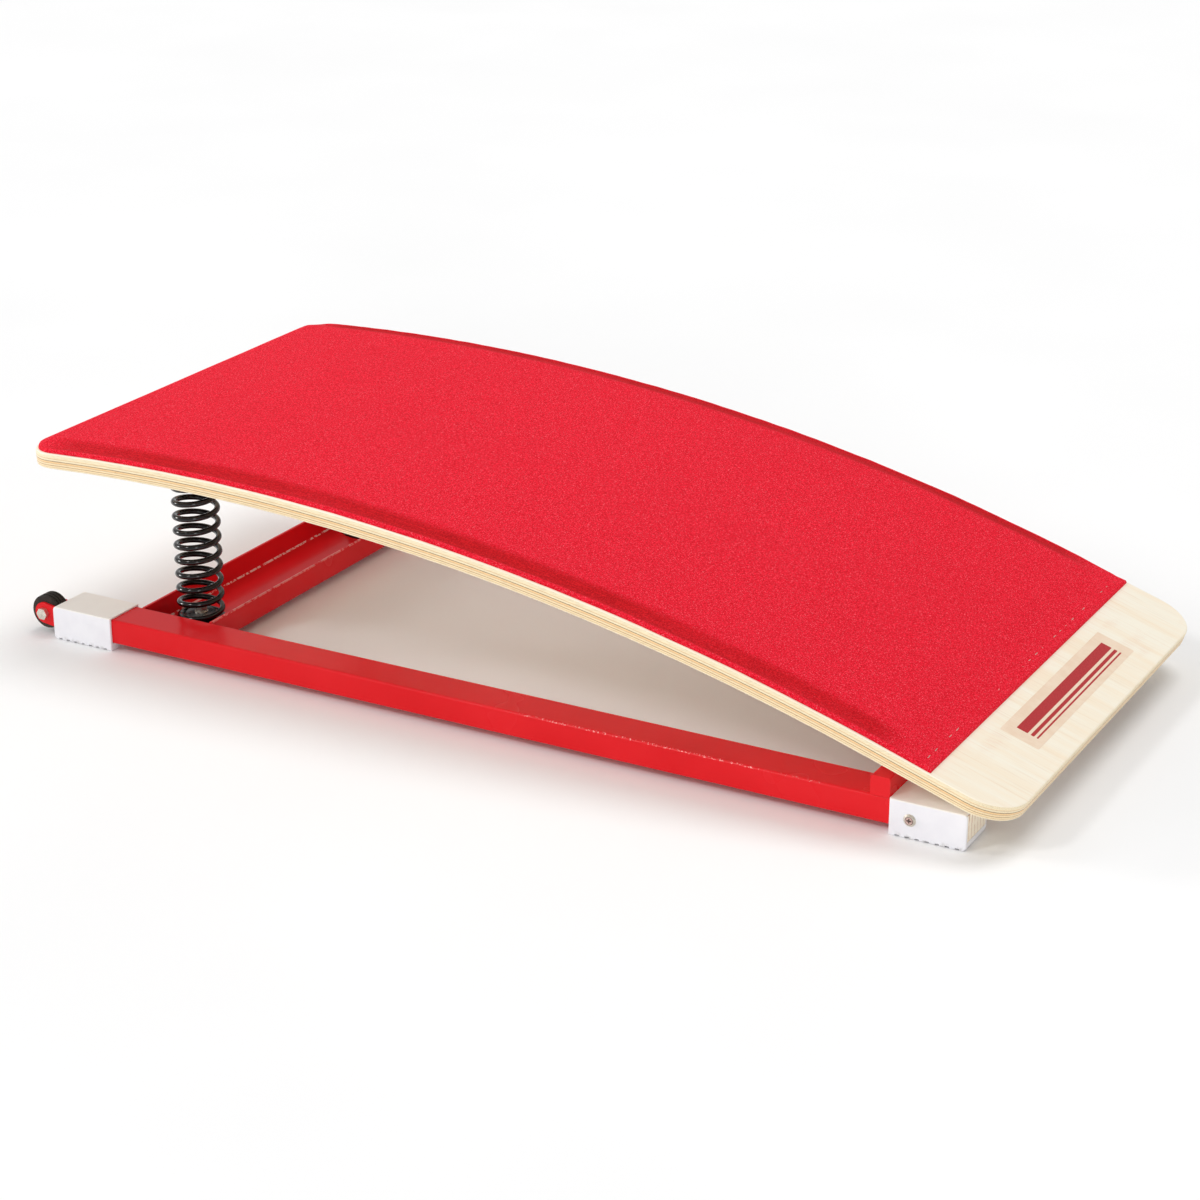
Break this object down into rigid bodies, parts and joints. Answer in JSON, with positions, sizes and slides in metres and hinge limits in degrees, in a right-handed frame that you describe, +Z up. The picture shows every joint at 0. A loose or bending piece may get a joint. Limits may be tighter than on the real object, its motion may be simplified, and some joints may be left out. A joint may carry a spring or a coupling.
{
  "type": "gymnastics springboard",
  "caption": "Springboard for vaulting: a curved carpeted plywood deck hinged low at the front of a steel base and carried on coil springs at the back, with transport rollers.",
  "frame": {"origin": "on the floor, under the middle of the whole board's box", "axes": "+X along the board to its low nose, +Y across it, +Z up; left is -Y"},
  "size_m": [1.254, 0.6, 0.2546],
  "materials": {
    "plywood": "clear satin varnish over pale plywood, plies showing at the edges",
    "plug_wood": "bare plywood set on edge",
    "foam": "closed-cell foam, hidden under the carpet",
    "carpet": "short looped pile carpet",
    "red_paint": "glossy powder coat",
    "spring_black": "glossy black enamel",
    "seat_black": "satin black",
    "zinc": "zinc plated",
    "white_rubber": "smooth white non-marking rubber",
    "roller_rubber": "matte black rubber",
    "bush_nylon": "natural nylon"
  },
  "bodies": {
    "frame": {"cross_bar_end_plates": "red_paint", "cup_washers": "zinc", "foot_screws": "zinc", "foot_sleeve_front_left": "white_rubber", "foot_sleeve_front_right": "white_rubber", "foot_sleeve_rear_left": "white_rubber", "foot_sleeve_rear_right": "white_rubber", "front_cross_bar": "red_paint", "hinge_clip_left": "zinc", "hinge_clip_right": "zinc", "hinge_lugs_left": "red_paint", "hinge_lugs_right": "red_paint", "hinge_pin_left": "zinc", "hinge_pin_right": "zinc", "lower_spring_seat_left": "seat_black", "lower_spring_seat_right": "seat_black", "rear_channel": "red_paint", "roller_bolts": "zinc", "roller_fork_left": "red_paint", "roller_fork_right": "red_paint", "roller_nuts": "zinc", "roller_washers": "zinc", "side_rail_left": "red_paint", "side_rail_right": "red_paint", "spring_base_bolts": "zinc", "spring_base_nuts": "zinc", "spring_base_washers": "zinc", "spring_left": "spring_black", "spring_right": "spring_black", "wood_plug_left": "plug_wood", "wood_plug_right": "plug_wood"},
    "deck": {"carpet_cover": "carpet", "carpet_staples": "zinc", "deck_board": "plywood", "foam_pad": "foam", "hinge_bush_left": "bush_nylon", "hinge_bush_right": "bush_nylon", "hinge_leaf_bolts": "zinc", "hinge_leaf_left": "seat_black", "hinge_leaf_nuts": "zinc", "hinge_leaf_right": "seat_black", "hinge_leaf_washers": "zinc", "spring_top_bolts": "zinc", "spring_top_nuts": "zinc", "spring_top_washers": "zinc", "upper_spring_seat_left": "seat_black", "upper_spring_seat_right": "seat_black"},
    "left_wheel": {"roller_left": "roller_rubber", "roller_bush_left": "bush_nylon"},
    "right_wheel": {"roller_right": "roller_rubber", "roller_bush_right": "bush_nylon"}
  },
  "joints": [
    {"name": "deck_flex", "type": "hinge", "parent": "frame", "child": "deck", "pos_m": [0.47846, 0, 0.07115], "axis": [0, -1, 0], "range_deg": [0, 5], "stiffness_Nm_per_rad": 26000, "springref_deg": -0.23, "deforming": ["spring_left", "spring_right"]},
    {"name": "left_roller_spin", "type": "hinge", "parent": "frame", "child": "left_wheel", "pos_m": [-0.60649, -0.26435, 0.027], "axis": [0, 1, 0], "continuous": true},
    {"name": "right_roller_spin", "type": "hinge", "parent": "frame", "child": "right_wheel", "pos_m": [-0.60649, 0.26435, 0.027], "axis": [0, 1, 0], "continuous": true}
  ]
}
